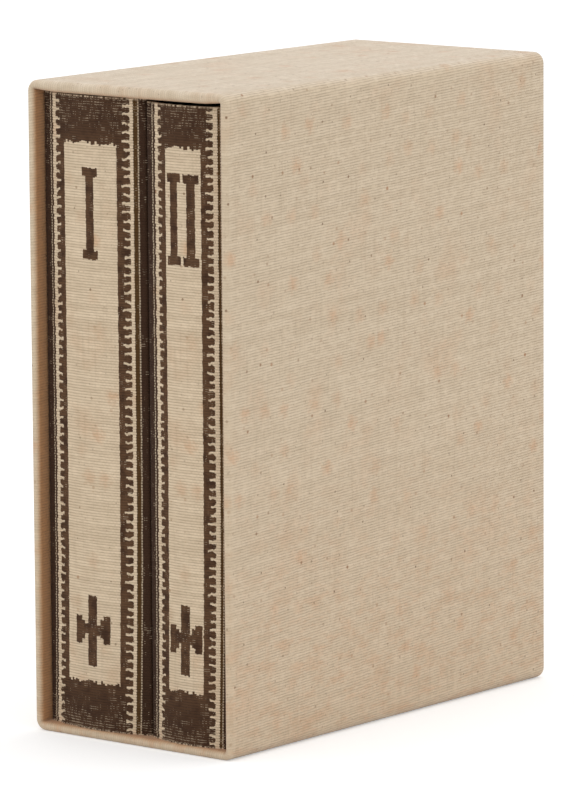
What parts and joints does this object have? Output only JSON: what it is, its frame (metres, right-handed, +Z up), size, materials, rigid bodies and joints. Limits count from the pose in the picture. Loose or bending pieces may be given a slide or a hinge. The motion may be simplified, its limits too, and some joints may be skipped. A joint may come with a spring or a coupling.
{
  "type": "two-volume book set in slipcase",
  "caption": "Pair of cloth-bound books with rounded, printed spines standing in an open-fronted cloth-covered slipcase; each book slides out of the mouth.",
  "frame": {"origin": "middle of the slipcase's footprint, on the surface that it stands on", "axes": "+Z up along the spines, -Y out of the slipcase's mouth, +X to the right when facing the spines"},
  "size_m": [0.0992, 0.2, 0.254],
  "materials": {
    "case_cloth": "natural ribbed book cloth with brown flecks",
    "printed_cloth": "natural ribbed book cloth block-printed in dark brown",
    "board": "grey binder's board",
    "pages": "trimmed page edges",
    "endpaper": "matte laid paper",
    "lining_paper": "matte paper",
    "headband": "wound thread"
  },
  "bodies": {
    "slipcase": {"case_left_board": "board", "case_right_board": "board", "case_top_board": "board", "case_bottom_board": "board", "case_back_board": "board", "case_wrap_cloth": "case_cloth", "case_bottom_cloth": "case_cloth", "case_back_cloth": "case_cloth", "case_lining": "lining_paper", "case_back_lining": "lining_paper"},
    "volume_1": {"volume_1_front_board": "board", "volume_1_back_board": "board", "volume_1_spine_inlay": "board", "volume_1_cover_cloth": "printed_cloth", "volume_1_pages": "pages", "volume_1_spine_lining": "lining_paper", "volume_1_front_endpaper": "endpaper", "volume_1_back_endpaper": "endpaper", "volume_1_headband": "headband", "volume_1_tailband": "headband"},
    "volume_2": {"volume_2_front_board": "board", "volume_2_back_board": "board", "volume_2_spine_inlay": "board", "volume_2_cover_cloth": "printed_cloth", "volume_2_pages": "pages", "volume_2_spine_lining": "lining_paper", "volume_2_front_endpaper": "endpaper", "volume_2_back_endpaper": "endpaper", "volume_2_headband": "headband", "volume_2_tailband": "headband"}
  },
  "joints": [
    {"name": "volume_1_slide", "type": "slide", "parent": "slipcase", "child": "volume_1", "axis": [0, -1, 0], "range_m": [0, 0.18]},
    {"name": "volume_2_slide", "type": "slide", "parent": "slipcase", "child": "volume_2", "axis": [0, -1, 0], "range_m": [0, 0.18]}
  ]
}
